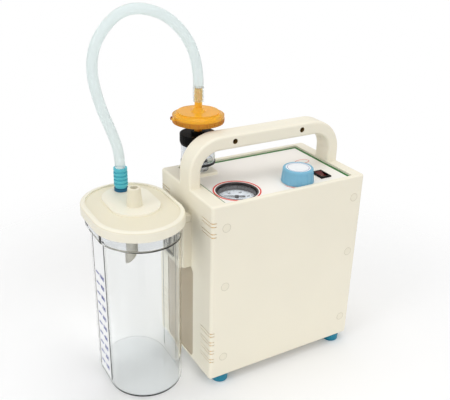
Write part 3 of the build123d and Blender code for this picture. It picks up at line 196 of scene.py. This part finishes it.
cream = srgb(238, 232, 214)
looks = {
    "casing": plastic("casing_cream", cream, rough=0.42, bump=0.10, grain=700.0, sub=0.03),
    "bracket": plastic("bracket_cream", srgb(232, 225, 206), rough=0.45, bump=0.1),
    "panel": plastic("panel_grey", srgb(245, 241, 235), rough=0.35, bump=0.02),
    "plate": plastic("plate_alu", srgb(190, 190, 192), rough=0.35, metal=1.0),
    "green": plastic("border_green", srgb(20, 112, 38), rough=0.4),
    "steel": plastic("screw_steel", srgb(170, 170, 172), rough=0.3, metal=1.0),
    "brass": plastic("screw_brass", srgb(190, 155, 80), rough=0.32, metal=1.0, grain=400.0),
    "foot": plastic("foot_teal", srgb(14, 124, 152), rough=0.5, grain=500.0, bump=0.15),
    "cap": plastic("plug_cream", srgb(234, 228, 209), rough=0.4),
    "dark": plastic("black_satin", srgb(5, 5, 6), rough=0.5, bump=0.08, spec=0.1),
    "gauge_case": plastic("gauge_grey", srgb(58, 52, 52), rough=0.4),
    "red": plastic("ring_red", srgb(222, 44, 36), rough=0.35),
    "dial": plastic("dial_white", srgb(235, 238, 243), rough=0.5, bump=0.01),
    "needle": plastic("needle_black", srgb(20, 20, 22), rough=0.5),
    "lens": clear("gauge_glass", (0.95, 0.97, 0.98, 1.0), ior=1.2, see=0.95),
    "knob": plastic("knob_blue", srgb(122, 180, 207), rough=0.42, bump=0.08, sub=0.05),
    "white": plastic("cap_white", srgb(238, 241, 245), rough=0.3),
    "switch_red": plastic("rocker_red", srgb(84, 10, 14), rough=0.3, coat=0.1),
    "clear": clear("jar_clear", (0.975, 0.985, 0.985, 1.0), ior=1.33, see=0.97),
    "scale": plastic("marks_blue", srgb(34, 52, 150), rough=0.5),
    "lid": plastic("lid_cream", srgb(237, 232, 215), rough=0.38, sub=0.06),
    "gasket": plastic("gasket_pale", srgb(220, 220, 216), rough=0.6),
    "float": plastic("float_white", srgb(236, 238, 238), rough=0.4),
    "teal": plastic("connector_teal", srgb(84, 188, 204), rough=0.42, grain=300.0, bump=0.12, sub=0.1),
    "hose": clear("hose_silicone", (0.80, 0.865, 0.86, 1.0), rough=0.30, ior=1.2, see=0.8, body=0.45),
    "sleeve": clear("hose_end", (0.84, 0.88, 0.87, 1.0), rough=0.2, ior=1.1, see=0.85, body=0.1),
    "amber_dark": clear("filter_base", (0.82, 0.38, 0.035, 1.0), rough=0.2, ior=1.3, see=0.7, body=0.5),
    "amber": clear("filter_amber", (0.97, 0.62, 0.06, 1.0), rough=0.18, ior=1.3, see=0.8, body=0.45),
    "membrane": plastic("membrane_white", srgb(238, 235, 225), rough=0.9, grain=300.0, bump=0.4),
    "rubber": plastic("rubber_black", srgb(26, 26, 26), rough=0.6, bump=0.15),
    "cast": plastic("cast_alu", srgb(168, 170, 172), rough=0.5, metal=1.0, grain=250.0, bump=0.3),
    "iron": plastic("core_iron", srgb(90, 92, 96), rough=0.5, metal=0.8, bump=0.2),
    "copper": plastic("winding_copper", srgb(184, 96, 50), rough=0.4, metal=0.9, bump=0.3),
    "sheet": plastic("zinc_sheet", srgb(140, 144, 148), rough=0.4, metal=0.8),
    "tube": plastic("nylon_tube", srgb(205, 210, 214), rough=0.4),
    # painted shadow line round the screw caps
    "groove": plastic("cap_painted_shadow", srgb(204, 197, 178), rough=0.6),
    "strip": clear("scale_film", (0.96, 0.965, 0.97, 1.0), rough=0.25, ior=1.05, see=0.9, body=0.8),
    # painted shade for the vent slots
    "vent": plastic("vent_painted_shade", srgb(214, 176, 116), rough=0.7),
    "tube_beige": plastic("tube_beige", srgb(216, 211, 199), rough=0.4),
    "smoke": clear("tube_smoke", (0.42, 0.45, 0.47, 1.0), rough=0.1, ior=1.4, see=0.6, body=0.3),
    # painted shade for the jar's flat edges
    "olive": plastic("edge_painted_shade_olive", srgb(84, 80, 66), rough=0.4),
    "haze": plastic("floor_edge", srgb(196, 200, 200), rough=0.4),
    "tab": plastic("tab_red", srgb(128, 40, 12), rough=0.4),
}

# painted shade in the pocket behind the jar and in the screw wells of the handle; other tints: lid band and
# port, flange
# painted shade: a darker tan on the floor of the shallow pocket behind the jar
paint(looks["casing"], srgb(186, 172, 148), (casing_x0 + 0.0004, jar_y - 0.0316, 0.014),
      (casing_x0 + 0.0016, jar_y + 0.0316, 0.1456))
well_lo, well_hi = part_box("handle_screws")
for wx in (well_lo.x + 0.003, well_hi.x - 0.003):
    wz = (well_lo.z + well_hi.z) / 2
    # painted shade: dark brass-brown inside each screw well of the handle
    paint(looks["casing"], srgb(132, 106, 60), (wx - 0.0036, casing_y0 + 0.0546, wz - 0.0036),
          (wx + 0.0036, casing_y0 + 0.0675, wz + 0.0036))
paint(looks["lid"], srgb(229, 222, 199), (None, None, lid_top - 0.0021), (None, None, lid_top - 0.0013))
paint(looks["lid"], srgb(229, 223, 202), (jar_x - 0.0098, jar_y - 0.0112, lid_top + 0.0009),
      (jar_x + 0.0098, jar_y + 0.0082, None))
paint(looks["teal"], srgb(12, 92, 128), (None, None, None), (None, None, lid_top + 0.0045))
paint(looks["clear"], (0.80, 0.82, 0.84, 1.0), (None, None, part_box("jar")[0].z + 0.2007), (None, None, None))

node_slot = {s["node"]: s["material_slot"] for s in frame["record"]["subparts"]}
own_look = {"hose_sleeve": "sleeve", "filter_lower": "amber_dark"}
for name, obj in frame["nodes"].items():
    obj.data.materials.clear()
    obj.data.materials.append(looks[own_look.get(name, node_slot[name])])
    for poly in obj.data.polygons:
        poly.material_index = 0

# Hose: the same corner points as the solid
hose_run = [(1.0, 0.0), (1.0, 21.0), (0.885, 56.0), (0.575, 86.0), (0.125, 93.0), (-0.195, 63.0),
            (-0.287, 29.0), (-0.205, -12.0), (-0.062, -48.5), (0.0, -72.0), (0.0, -88.0)]
points = [(elbow.x + (stack.x - elbow.x) * s, elbow.y + (stack.y - elbow.y) * s, barb_top + h * MM)
          for s, h in hose_run]
curve = bpy.data.curves.new("hose_line", "CURVE")
curve.dimensions = "3D"
curve.bevel_depth = 0.006
curve.bevel_resolution = 6
curve.resolution_u = 14
curve.use_fill_caps = True
spline = curve.splines.new("NURBS")
spline.points.add(len(points) - 1)
for p, co in zip(spline.points, points):
    p.co = (co[0], co[1], co[2], 1.0)
spline.order_u = 3
spline.use_endpoint_u = True
hose = bpy.data.objects.new("hose_tube", curve)
bpy.context.scene.collection.objects.link(hose)
curve.materials.append(looks["hose"])
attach(hose, "lid_body")
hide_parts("hose")

# Small printed and moulded details
def add_box(bm, centre, size, turn=None):
    made = bmesh.ops.create_cube(bm, size=1.0)["verts"]
    bmesh.ops.scale(bm, vec=size, verts=made)
    if turn:
        bmesh.ops.transform(bm, matrix=turn, verts=made)
    bmesh.ops.translate(bm, vec=centre, verts=made)


def add_band(bm, inner, outer):
    # flat strip between two point rows
    row = [(bm.verts.new(a), bm.verts.new(b)) for a, b in zip(inner, outer)]
    for (a, b), (c, d) in zip(row, row[1:]):
        bm.faces.new((a, b, d, c))


def add_digits(bm, text, size, matrix):
    data = bpy.data.curves.new("digits", "FONT")
    data.body = text
    data.size = size
    data.align_x = "CENTER"
    data.align_y = "CENTER"
    data.extrude = 0.00004
    data.offset = size * 0.012
    data.resolution_u = 3
    temp = bpy.data.objects.new("digits", data)
    mesh = temp.to_mesh()
    mesh.transform(matrix)
    bm.from_mesh(mesh)
    temp.to_mesh_clear()
    bpy.data.objects.remove(temp)
    bpy.data.curves.remove(data)


def finish_piece(bm, name, look, body, thick=0.0, smooth=False):
    mesh = bpy.data.meshes.new(name)
    bm.to_mesh(mesh)
    bm.free()
    obj = bpy.data.objects.new(name, mesh)
    bpy.context.scene.collection.objects.link(obj)
    mesh.materials.append(look)
    if smooth:
        for poly in mesh.polygons:
            poly.use_smooth = True
    if thick:
        solid = obj.modifiers.new("thick", "SOLIDIFY")
        solid.thickness = thick
        solid.offset = 0.0
    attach(obj, body)
    return obj


def ring_rows(centre, r_in, r_out, start, stop, steps):
    inner, outer = [], []
    for k in range(steps + 1):
        a = start + (stop - start) * k / steps
        c, w = math.cos(a), math.sin(a)
        inner.append(centre + Vector((r_in * c, r_in * w, 0.0)))
        outer.append(centre + Vector((r_out * c, r_out * w, 0.0)))
    return inner, outer


# dial: scale over three quarters of a turn and plain numbers
dial_start, dial_sweep = 152.0, 270.0
scale_r, numbers_r = 0.0208, 0.0146
face = Vector((gauge.x, gauge.y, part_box("gauge_dial")[1].z + 0.00006))
bm = bmesh.new()
for k in range(51):
    angle = math.radians(dial_start - dial_sweep * k / 50)
    long_mark = k % 5 == 0
    reach = 0.0030 if long_mark else 0.0017
    mid = scale_r - reach / 2
    spot = face + Vector((mid * math.cos(angle), mid * math.sin(angle), 0.0))
    add_box(bm, spot, (reach, 0.0005 if long_mark else 0.00028, 0.00008),
            Matrix.Rotation(angle, 4, "Z"))
for k in range(6):
    angle = math.radians(dial_start - dial_sweep / 5 * k)
    spot = face + Vector((numbers_r * math.cos(angle), numbers_r * math.sin(angle), 0.0))
    add_digits(bm, str(20 * k), 0.0040, Matrix.Translation(spot))
add_band(bm, *ring_rows(face, 0.0210, 0.02125, math.radians(dial_start - dial_sweep),
                        math.radians(dial_start), 60))
finish_piece(bm, "dial_marks", looks["needle"], "casing_body")

# bold pointer with a counterweight, turned to the solid's rest mark
needle_lo, needle_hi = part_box("gauge_needle")
rest = Matrix.Rotation(math.radians(dial_start), 4, "Z")
outline = [(-0.0098, -0.0014), (-0.0060, -0.0011), (-0.0026, -0.0011), (-0.0016, -0.0024), (0.0016, -0.0024),
           (0.0026, -0.0010), (0.0080, -0.0008), (0.0150, -0.0003)]
outline += [(x, -y) for x, y in reversed(outline)]
bm = bmesh.new()
shape = bm.faces.new([bm.verts.new((x, y, 0.0)) for x, y in outline])
made = bmesh.ops.extrude_face_region(bm, geom=[shape])["geom"]
bmesh.ops.translate(bm, vec=(0.0, 0.0, 0.0005), verts=[v for v in made if isinstance(v, bmesh.types.BMVert)])
bmesh.ops.transform(bm, matrix=Matrix.Translation((gauge.x, gauge.y, needle_hi.z - 0.0006)) @ rest,
                    verts=bm.verts[:])
made = bmesh.ops.create_cone(bm, cap_ends=True, segments=24, radius1=0.0026, radius2=0.0022,
                             depth=needle_hi.z - needle_lo.z)["verts"]
bmesh.ops.translate(bm, vec=(gauge.x, gauge.y, (needle_hi.z + needle_lo.z) / 2), verts=made)
bmesh.ops.recalc_face_normals(bm, faces=bm.faces[:])
pointer = finish_piece(bm, "needle_blade", looks["needle"], "needle_body")
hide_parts("gauge_needle")

# thin blue line round the knob's white disc and a red arc beside the knob
cap_top = Vector((knob.x, knob.y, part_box("knob_cap")[1].z + print_lift))
bm = bmesh.new()
add_band(bm, *ring_rows(cap_top, 0.0127, 0.0131, 0.0, 2 * math.pi, 64))
finish_piece(bm, "knob_line", looks["scale"], "knob_body", thick=0.00006)
bm = bmesh.new()
arc_r = 0.0215
arc_at = Vector((knob.x, knob.y, panel_z + print_lift))
inner, outer = [], []
for k in range(25):
    a = math.radians(190.0 + 70.0 * k / 24)
    half = 0.0011 * k / 24 + 0.0002
    inner.append(arc_at + Vector(((arc_r - half) * math.cos(a), (arc_r - half) * math.sin(a), 0.0)))
    outer.append(arc_at + Vector(((arc_r + half) * math.cos(a), (arc_r + half) * math.sin(a), 0.0)))
add_band(bm, inner, outer)
oval_at = Vector((casing_x0 + 0.1725, casing_y0 + 0.075, panel_z + print_lift))
oval_long, oval_short, oval_line = 0.0098, 0.0052, 0.0008
inner, outer = [], []
for k in range(49):
    a = 2 * math.pi * k / 48
    c, w = math.cos(a), math.sin(a)
    inner.append(oval_at + Vector((oval_long * c, oval_short * w, 0.0)))
    outer.append(oval_at + Vector(((oval_long + oval_line) * c, (oval_short + oval_line) * w, 0.0)))
add_band(bm, inner, outer)
finish_piece(bm, "panel_marks", looks["red"], "casing_body", thick=0.00006)

# shadow line round each screw cap
bm = bmesh.new()
cap_lo, cap_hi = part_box("screw_caps")
cap_r, cap_line_r = 0.0048, 0.0053
cap_front = casing_y0 - 0.00004
cap_xs = (cap_lo.x + cap_r, cap_hi.x - cap_r)
cap_zs = (cap_lo.z + cap_r, casing_lo.z + 0.1283, cap_hi.z - cap_r)
for cx in cap_xs:
    for cz in cap_zs:
        inner, outer = [], []
        for k in range(41):
            a = 2 * math.pi * k / 40
            c, w = math.cos(a), math.sin(a)
            inner.append(Vector((cx + cap_r * c, cap_front, cz + cap_r * w)))
            outer.append(Vector((cx + cap_line_r * c, cap_front, cz + cap_line_r * w)))
        add_band(bm, inner, outer)
finish_piece(bm, "cap_lines", looks["groove"], "casing_body", thick=0.00004)

# jar: strip, marks with plain numbers, and dark lines of painted shade along the flat and under the flange
foot_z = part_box("jar")[0].z
shoulder_z = foot_z + 0.2005
half_flat = 0.018
top_r = 0.045
foot_r = 0.0443


def jar_r(z):
    return foot_r + (top_r - foot_r) * (z - foot_z) / (shoulder_z - foot_z)


def jar_point(s, z, proud):
    # s runs from the rear edge of the left flat, over the flat and round the front end
    r = jar_r(z) + proud
    flat = 2 * half_flat
    if s <= flat:
        return Vector((jar_x - r, jar_y + half_flat - s, z))
    a = math.pi + (s - flat) / top_r
    return Vector((jar_x + r * math.cos(a), jar_y - half_flat + r * math.sin(a), z))


bm = bmesh.new()
low, high = 0.010, shoulder_z - 0.0015
steps = 20
rows = [low + (high - low) * k / steps for k in range(steps + 1)]
# painted shade: dark lines on the flat's edges and under the flange stand in for refraction at the edges
for centre, half in ((0.0, 0.0007), (2 * half_flat, 0.0011)):
    add_band(bm, [jar_point(centre - half, z, 0.00015) for z in rows],
             [jar_point(centre + half, z, 0.00015) for z in rows])
round_s = [2 * half_flat - 0.0011 + (math.pi * top_r + 0.0022) * k / 60 for k in range(61)]
add_band(bm, [jar_point(t, high - 0.0017, 0.00015) for t in round_s],
         [jar_point(t, high + 0.0005, 0.00015) for t in round_s])
finish_piece(bm, "jar_painted_shade_lines", looks["rubber"], "jar_body", thick=0.0001)

# painted shade: dark lines where the right flat meets the ends stand in for refraction at the edges; then a
# line at the inner floor's edge
bm = bmesh.new()
for side in (-1, 1):
    edge_y = jar_y + side * half_flat
    add_band(bm, [Vector((2 * jar_x - jar_point(0, z, 0).x + 0.0001, edge_y - 0.0007, z)) for z in rows],
             [Vector((2 * jar_x - jar_point(0, z, 0).x + 0.0001, edge_y + 0.0007, z)) for z in rows])
finish_piece(bm, "jar_painted_edge_shade", looks["olive"], "jar_body", thick=0.0001)
bm = bmesh.new()
inner, outer = [], []
for k in range(97):
    a = 2 * math.pi * k / 96
    shift = half_flat if math.sin(a) > 1e-6 else -half_flat if math.sin(a) < -1e-6 else 0.0
    for radius, row in ((foot_r - 0.0036, inner), (foot_r - 0.0028, outer)):
        row.append(Vector((jar_x + radius * math.cos(a), jar_y + shift + radius * math.sin(a),
                           foot_z + 0.0032)))
add_band(bm, inner, outer)
finish_piece(bm, "jar_floor_line", looks["haze"], "jar_body", thick=0.0001)

bm = bmesh.new()
add_band(bm, [jar_point(0.0012, z, 0.0001) for z in rows],
         [jar_point(2 * half_flat - 0.0014, z, 0.0001) for z in rows])
finish_piece(bm, "scale_strip", looks["strip"], "jar_body")

bm = bmesh.new()
scale_lo, scale_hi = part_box("jar_scale")
step = (scale_hi.z - scale_lo.z - 0.0009) / 9
for k in range(10):
    z = scale_lo.z + 0.00045 + step * k
    spot = jar_point(0.0, z, 0.0003)
    add_box(bm, Vector((spot.x, jar_y + 0.0085, z)), (0.0001, 0.0100, 0.0017))
    turn = Matrix(((0, 0, -1, spot.x), (-1, 0, 0, jar_y - 0.0058), (0, 1, 0, z), (0, 0, 0, 1)))
    add_digits(bm, str(100 * (k + 1)), 0.0074, turn)
marks = finish_piece(bm, "jar_marks", looks["scale"], "jar_body")
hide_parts("jar_scale")

# vent slots: painted shade, a tan wall set inside each slot of the left corners
bm = bmesh.new()
vent_heights = (27.8, 40.2, 52.6, 65.0, 197.2, 210.2)
half_pair = 2.1
slot_t = 0.00108
for vent in vent_heights:
    for step_z in (-half_pair, half_pair):
        z = casing_lo.z + (vent + step_z) * MM
        for corner, inward in ((casing_y0, 1), (casing_y0 + casing_depth, -1)):
            add_box(bm, Vector((casing_x0 + 0.0018, corner + inward * 0.0124, z)), (0.0020, 0.0226, slot_t))
            add_box(bm, Vector((casing_x0 + 0.0034, corner + inward * 0.0018, z)), (0.0048, 0.0016, slot_t))
finish_piece(bm, "vent_walls", looks["vent"], "casing_body")

# grip ribs round the filter's lower half
flt_lo, flt_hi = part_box("filter_lower")
bm = bmesh.new()
rib_r = (flt_hi.x - flt_lo.x) / 2 - 0.0001
rib_c = (flt_lo + flt_hi) / 2
for k in range(60):
    a = 2 * math.pi * k / 60
    spot = Vector((rib_c.x + rib_r * math.cos(a), rib_c.y + rib_r * math.sin(a), flt_hi.z - 0.0024))
    add_box(bm, spot, (0.0008, 0.0014, 0.0036), Matrix.Rotation(a, 4, "Z"))
finish_piece(bm, "filter_ribs", looks["amber_dark"], "casing_body")

# small dark tab on the filter's rim
bm = bmesh.new()
tab_at = Vector((rib_c.x - 0.867 * rib_r, rib_c.y + 0.498 * rib_r, flt_hi.z - 0.0026))
add_box(bm, tab_at, (0.0046, 0.0056, 0.0034), Matrix.Rotation(math.radians(-30.0), 4, "Z"))
tab = finish_piece(bm, "filter_tab", looks["tab"], "casing_body")
soft = tab.modifiers.new("round", "BEVEL")
soft.width = 0.0009
soft.segments = 3

# bracket cheeks that rise beside the hanging slot, up to just under the lid
brk_lo, brk_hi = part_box("jar_bracket")
cheek_top = min(lid_top - 0.0135, brk_hi.z + 0.0095)
bm = bmesh.new()
for side in (-1, 1):
    add_box(bm, Vector(((brk_lo.x + brk_hi.x) / 2, jar_y + side * 0.0222, (brk_hi.z + cheek_top) / 2)),
            (brk_hi.x - brk_lo.x, 0.0096, cheek_top - brk_hi.z))
cheeks = finish_piece(bm, "bracket_cheeks", looks["bracket"], "casing_body")
soft = cheeks.modifiers.new("round", "BEVEL")
soft.width = 0.0012
soft.segments = 3

# drop tube inside the lid, cut off at a slant
bm = bmesh.new()
port = Vector((jar_x - 0.005, jar_y + 0.003, 0.0))
drop_r, drop_bore_r = 0.0070, 0.0052
drop_top, drop_end, drop_slant = 0.2105, 0.1610, -0.0060
drop_sides = 32
rings = []
for radius in (drop_r, drop_bore_r):
    upper, lower = [], []
    for k in range(drop_sides):
        a = 2 * math.pi * k / drop_sides
        off = Vector((radius * math.cos(a), radius * math.sin(a), 0.0))
        upper.append(bm.verts.new(port + off + Vector((0, 0, drop_top))))
        lower.append(bm.verts.new(port + off + Vector((0, 0, drop_end - drop_slant * math.cos(a)))))
    rings.append((upper, lower))
(ou, ol), (iu, il) = rings
for k in range(drop_sides):
    n = (k + 1) % drop_sides
    bm.faces.new((ou[k], ou[n], ol[n], ol[k]))
    bm.faces.new((iu[n], iu[k], il[k], il[n]))
    bm.faces.new((ol[k], ol[n], il[n], il[k]))
    bm.faces.new((ou[n], ou[k], iu[k], iu[n]))
finish_piece(bm, "drop_tube", looks["tube_beige"], "lid_body", smooth=True)

# inner tube of the overflow bottle
bot_lo, bot_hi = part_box("safety_bottle")
bm = bmesh.new()
made = bmesh.ops.create_cone(bm, cap_ends=True, segments=28, radius1=0.0042, radius2=0.0050,
                             depth=bot_hi.z - bot_lo.z - 0.010)["verts"]
bmesh.ops.translate(bm, vec=Vector((stack.x, stack.y, (bot_hi.z + bot_lo.z) / 2 + 0.003)), verts=made)
finish_piece(bm, "bottle_tube", looks["smoke"], "casing_body", smooth=True)

# Floor, light and background
floor_mesh = bpy.data.meshes.new("floor_mesh")
r = 6.0
floor_mesh.from_pydata([(-r, -r, 0), (r, -r, 0), (r, r, 0), (-r, r, 0)], [], [(0, 1, 2, 3)])
floor = bpy.data.objects.new("floor", floor_mesh)
bpy.context.scene.collection.objects.link(floor)
floor_mat = bpy.data.materials.new("floor_white")
floor_mat.use_nodes = True
ft = floor_mat.node_tree
floor_bsdf = ft.nodes["Principled BSDF"]
floor_bsdf.inputs["Base Color"].default_value = (0.93, 0.93, 0.93, 1.0)
floor_bsdf.inputs["Roughness"].default_value = 0.9
floor_bsdf.inputs["Specular IOR Level"].default_value = 0.1
floor_at = ft.nodes.new("ShaderNodeTexCoord")
floor_len = ft.nodes.new("ShaderNodeVectorMath")
floor_len.operation = "LENGTH"
ft.links.new(floor_at.outputs["Object"], floor_len.inputs[0])
fade = ft.nodes.new("ShaderNodeMapRange")
fade.interpolation_type = "SMOOTHSTEP"
fade.inputs["From Min"].default_value = 0.26
fade.inputs["From Max"].default_value = 0.62
ft.links.new(floor_len.outputs["Value"], fade.inputs["Value"])
gone = ft.nodes.new("ShaderNodeBsdfTransparent")
blend = ft.nodes.new("ShaderNodeMixShader")
ft.links.new(fade.outputs["Result"], blend.inputs["Fac"])
ft.links.new(floor_bsdf.outputs["BSDF"], blend.inputs[1])
ft.links.new(gone.outputs["BSDF"], blend.inputs[2])
ft.links.new(blend.outputs["Shader"], ft.nodes["Material Output"].inputs["Surface"])
floor_mesh.materials.append(floor_mat)

world = bpy.data.worlds.new("studio")
bpy.context.scene.world = world
world.use_nodes = True
wt = world.node_tree
back = wt.nodes["Background"]
back.inputs["Color"].default_value = (1.0, 1.0, 1.0, 1.0)
back.inputs["Strength"].default_value = 0.72
white = wt.nodes.new("ShaderNodeBackground")
white.inputs["Color"].default_value = (1.0, 1.0, 1.0, 1.0)
white.inputs["Strength"].default_value = 1.0
rays = wt.nodes.new("ShaderNodeLightPath")
seen = wt.nodes.new("ShaderNodeMath")
seen.operation = "MAXIMUM"
wt.links.new(rays.outputs["Is Camera Ray"], seen.inputs[0])
wt.links.new(rays.outputs["Is Transmission Ray"], seen.inputs[1])
pick = wt.nodes.new("ShaderNodeMixShader")
wt.links.new(seen.outputs["Value"], pick.inputs["Fac"])
wt.links.new(back.outputs["Background"], pick.inputs[1])
wt.links.new(white.outputs["Background"], pick.inputs[2])
wt.links.new(pick.outputs["Shader"], wt.nodes["World Output"].inputs["Surface"])


def area_light(name, place, target, size, power, colour=(1.0, 1.0, 1.0)):
    data = bpy.data.lights.new(name, "AREA")
    data.shape = "DISK"
    data.size = size
    data.energy = power
    data.color = colour
    lamp = bpy.data.objects.new(name, data)
    bpy.context.scene.collection.objects.link(lamp)
    lamp.location = place
    lamp.rotation_euler = (Vector(target) - Vector(place)).to_track_quat("-Z", "Y").to_euler()
    return lamp


lamps = [
    area_light("key", (0.3, -1.7, 1.3), (0.0, 0.0, 0.15), 1.0, 8.0),
    area_light("left", (-1.9, -0.3, 1.0), (0.0, 0.0, 0.15), 1.0, 9.0),
    area_light("top", (0.1, 0.2, 1.9), (0.0, 0.0, 0.1), 1.2, 7.0),
]

scene = bpy.context.scene
scene.view_settings.view_transform = "Standard"

# Camera solved from the photograph
cam_data = bpy.data.cameras.new("camera")
cam_data.lens = 51.353
cam_data.sensor_width = 36.0
cam_data.clip_start = 0.05
camera = bpy.data.objects.new("camera", cam_data)
scene.collection.objects.link(camera)
camera.location = (casing_x0 - 0.30171, casing_y0 - 0.53845, 0.5385)
camera.rotation_euler = (1.137776, -0.023747, -0.521167)
scene.camera = camera
